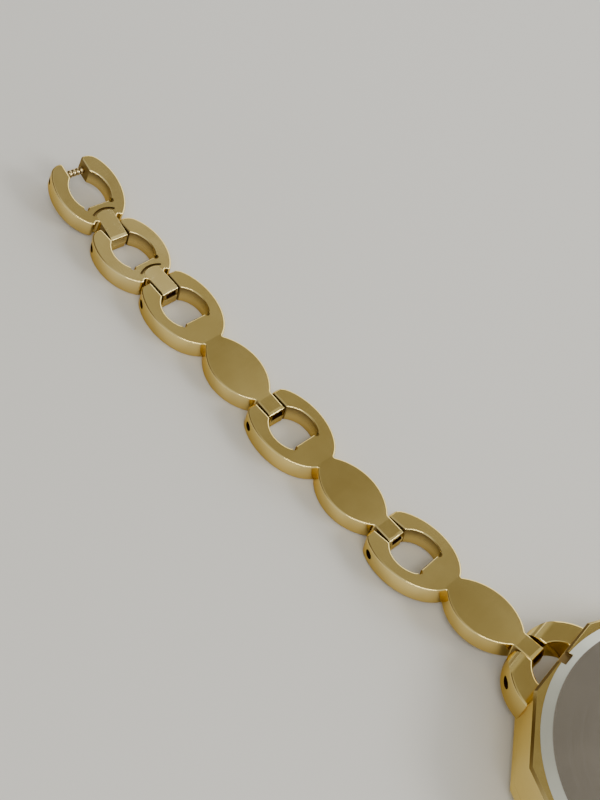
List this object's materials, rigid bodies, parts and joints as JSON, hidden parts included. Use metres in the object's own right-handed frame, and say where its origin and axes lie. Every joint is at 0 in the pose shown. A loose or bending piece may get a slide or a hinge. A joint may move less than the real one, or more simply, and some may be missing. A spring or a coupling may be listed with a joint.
{
  "type": "bracelet watch",
  "caption": "Women's gold bracelet watch laid face down: open-ring links hinged on pins, twelve-sided case with a pressed-in steel back, and a folding hook clasp.",
  "frame": {"origin": "centre of the case on the front face of the crystal, which is the plane of the table that the watch lies on", "axes": "+Z out of the case back (up, as the watch lies face down), +X from the case towards the clasp half (twelve on the dial), +Y towards the crown (three on the dial)"},
  "size_m": [0.1735, 0.0315, 0.0064],
  "materials": {
    "polished_gold": "polished gold plating",
    "clip_gold": "polished gold plating, a little deeper",
    "pin_steel": "plain drawn steel",
    "back_steel": "smooth stainless steel",
    "crystal_glass": "clear mineral glass",
    "gasket_rubber": "matt black",
    "dial_lacquer": "cream lacquer",
    "marker_gold": "polished gold",
    "movement_brass": "turned brass",
    "bridge_steel": "brushed nickel",
    "holder_plastic": "moulded white",
    "board_green": "coated board",
    "coil_copper": "enamelled copper winding",
    "cell_steel": "plain nickel-plated can"
  },
  "bodies": {
    "case": {"case_body": "polished_gold", "bezel": "polished_gold", "crystal": "crystal_glass", "crystal_gasket": "gasket_rubber", "dial": "dial_lacquer", "hour_markers": "marker_gold", "case_back": "back_steel", "back_gasket": "gasket_rubber", "free_side_lug": "polished_gold", "clasp_side_lug": "polished_gold", "crown_tube": "movement_brass", "movement_holder": "holder_plastic", "main_plate": "movement_brass", "train_bridge": "bridge_steel", "circuit_board": "board_green", "motor_coil": "coil_copper", "battery": "cell_steel", "battery_strap": "pin_steel", "free_side_pin_1": "pin_steel", "clasp_side_pin_1": "pin_steel"},
    "setting_lever": {"setting_lever": "pin_steel"},
    "crown": {"crown": "polished_gold", "crown_stem": "pin_steel"},
    "seconds_hand": {"seconds_hand": "marker_gold", "seconds_wheel": "movement_brass"},
    "minute_hand": {"minute_hand": "marker_gold", "cannon_pinion": "movement_brass"},
    "minute_wheel": {"minute_wheel": "movement_brass"},
    "hour_hand": {"hour_hand": "marker_gold", "hour_wheel": "movement_brass"},
    "free_link_1": {"free_side_link_1": "polished_gold", "free_side_pin_2": "pin_steel"},
    "free_link_2": {"free_side_link_2": "polished_gold", "free_side_pin_3": "pin_steel"},
    "free_link_3": {"free_side_link_3": "polished_gold", "free_side_pin_4": "pin_steel"},
    "free_short_link": {"free_side_short_link": "polished_gold", "free_side_short_clip": "clip_gold", "free_side_pin_5": "pin_steel"},
    "free_end_link": {"free_side_end_link": "polished_gold", "free_side_end_clip": "clip_gold", "hook_bar": "clip_gold"},
    "clasp_link_1": {"clasp_side_link_1": "polished_gold", "clasp_side_pin_2": "pin_steel"},
    "clasp_link_2": {"clasp_side_link_2": "polished_gold", "clasp_side_pin_3": "pin_steel"},
    "clasp_link_3": {"clasp_side_link_3": "polished_gold", "clasp_side_pin_4": "pin_steel"},
    "clasp_short_link": {"clasp_side_short_link": "polished_gold", "clasp_side_short_clip": "clip_gold", "clasp_side_pin_5": "pin_steel"},
    "clasp_cover": {"clasp_cover": "polished_gold", "clasp_hinge_pin": "pin_steel", "clasp_catch_stud": "pin_steel"},
    "clasp_blade": {"clasp_blade": "clip_gold", "clasp_hook": "clip_gold"}
  },
  "joints": [
    {"name": "free_hinge_1", "type": "hinge", "parent": "case", "child": "free_link_1", "pos_m": [-0.0165, 0, 0.00267], "axis": [0, 1, 0], "range_deg": [0, 45]},
    {"name": "free_hinge_2", "type": "hinge", "parent": "free_link_1", "child": "free_link_2", "pos_m": [-0.03286, 0.00146, 0.00115], "axis": [0.0889, 0.996, 0], "range_deg": [0, 45]},
    {"name": "free_hinge_3", "type": "hinge", "parent": "free_link_2", "child": "free_link_3", "pos_m": [-0.04915, 0.0041, 0.00105], "axis": [0.1599, 0.9871, 0], "range_deg": [0, 45]},
    {"name": "free_hinge_4", "type": "hinge", "parent": "free_link_3", "child": "free_short_link", "pos_m": [-0.06533, 0.00736, 0.00105], "axis": [0.1977, 0.9803, 0], "range_deg": [0, 45]},
    {"name": "free_hinge_5", "type": "hinge", "parent": "free_short_link", "child": "free_end_link", "pos_m": [-0.0733, 0.00881, 0.00105], "axis": [0.1788, 0.9839, 0], "range_deg": [0, 45]},
    {"name": "clasp_hinge_1", "type": "hinge", "parent": "case", "child": "clasp_link_1", "pos_m": [0.0165, 0, 0.00267], "axis": [0, -1, 0], "range_deg": [0, 45]},
    {"name": "clasp_hinge_2", "type": "hinge", "parent": "clasp_link_1", "child": "clasp_link_2", "pos_m": [0.03293, 0, 0.00115], "axis": [0, -1, 0], "range_deg": [0, 45]},
    {"name": "clasp_hinge_3", "type": "hinge", "parent": "clasp_link_2", "child": "clasp_link_3", "pos_m": [0.04943, 0, 0.00105], "axis": [0, -1, 0], "range_deg": [0, 45]},
    {"name": "clasp_hinge_4", "type": "hinge", "parent": "clasp_link_3", "child": "clasp_short_link", "pos_m": [0.06593, 0, 0.00105], "axis": [0, -1, 0], "range_deg": [0, 45]},
    {"name": "clasp_hinge_5", "type": "hinge", "parent": "clasp_short_link", "child": "clasp_cover", "pos_m": [0.07403, 0, 0.00105], "axis": [0, -1, 0], "range_deg": [0, 45]},
    {"name": "clasp_blade_hinge", "type": "hinge", "parent": "clasp_cover", "child": "clasp_blade", "pos_m": [0.09003, 0, 0.00125], "axis": [0, 1, 0], "range_deg": [0, 165]},
    {"name": "crown_pull", "type": "slide", "parent": "case", "child": "setting_lever", "axis": [0, 1, 0], "range_m": [0, 0.0006]},
    {"name": "crown_turn", "type": "hinge", "parent": "setting_lever", "child": "crown", "pos_m": [0, 0.015, 0.00375], "axis": [0, 1, 0], "continuous": true},
    {"name": "seconds_turn", "type": "hinge", "parent": "case", "child": "seconds_hand", "pos_m": [0, 0, 0.0015], "axis": [0, 0, 1], "continuous": true},
    {"name": "minute_turn", "type": "hinge", "parent": "case", "child": "minute_hand", "pos_m": [0, 0, 0.0018], "axis": [0, 0, 1], "continuous": true},
    {"name": "minute_wheel_turn", "type": "hinge", "parent": "case", "child": "minute_wheel", "pos_m": [0.002, 0, 0.0032], "axis": [0, 0, 1], "continuous": true},
    {"name": "hour_turn", "type": "hinge", "parent": "case", "child": "hour_hand", "pos_m": [0, 0, 0.002], "axis": [0, 0, 1], "continuous": true}
  ],
  "couplings": [
    {"joint": "minute_turn", "follows": "seconds_turn", "ratio": 0.016667},
    {"joint": "hour_turn", "follows": "seconds_turn", "ratio": 0.0013889},
    {"joint": "minute_wheel_turn", "follows": "seconds_turn", "ratio": -0.0055556}
  ]
}
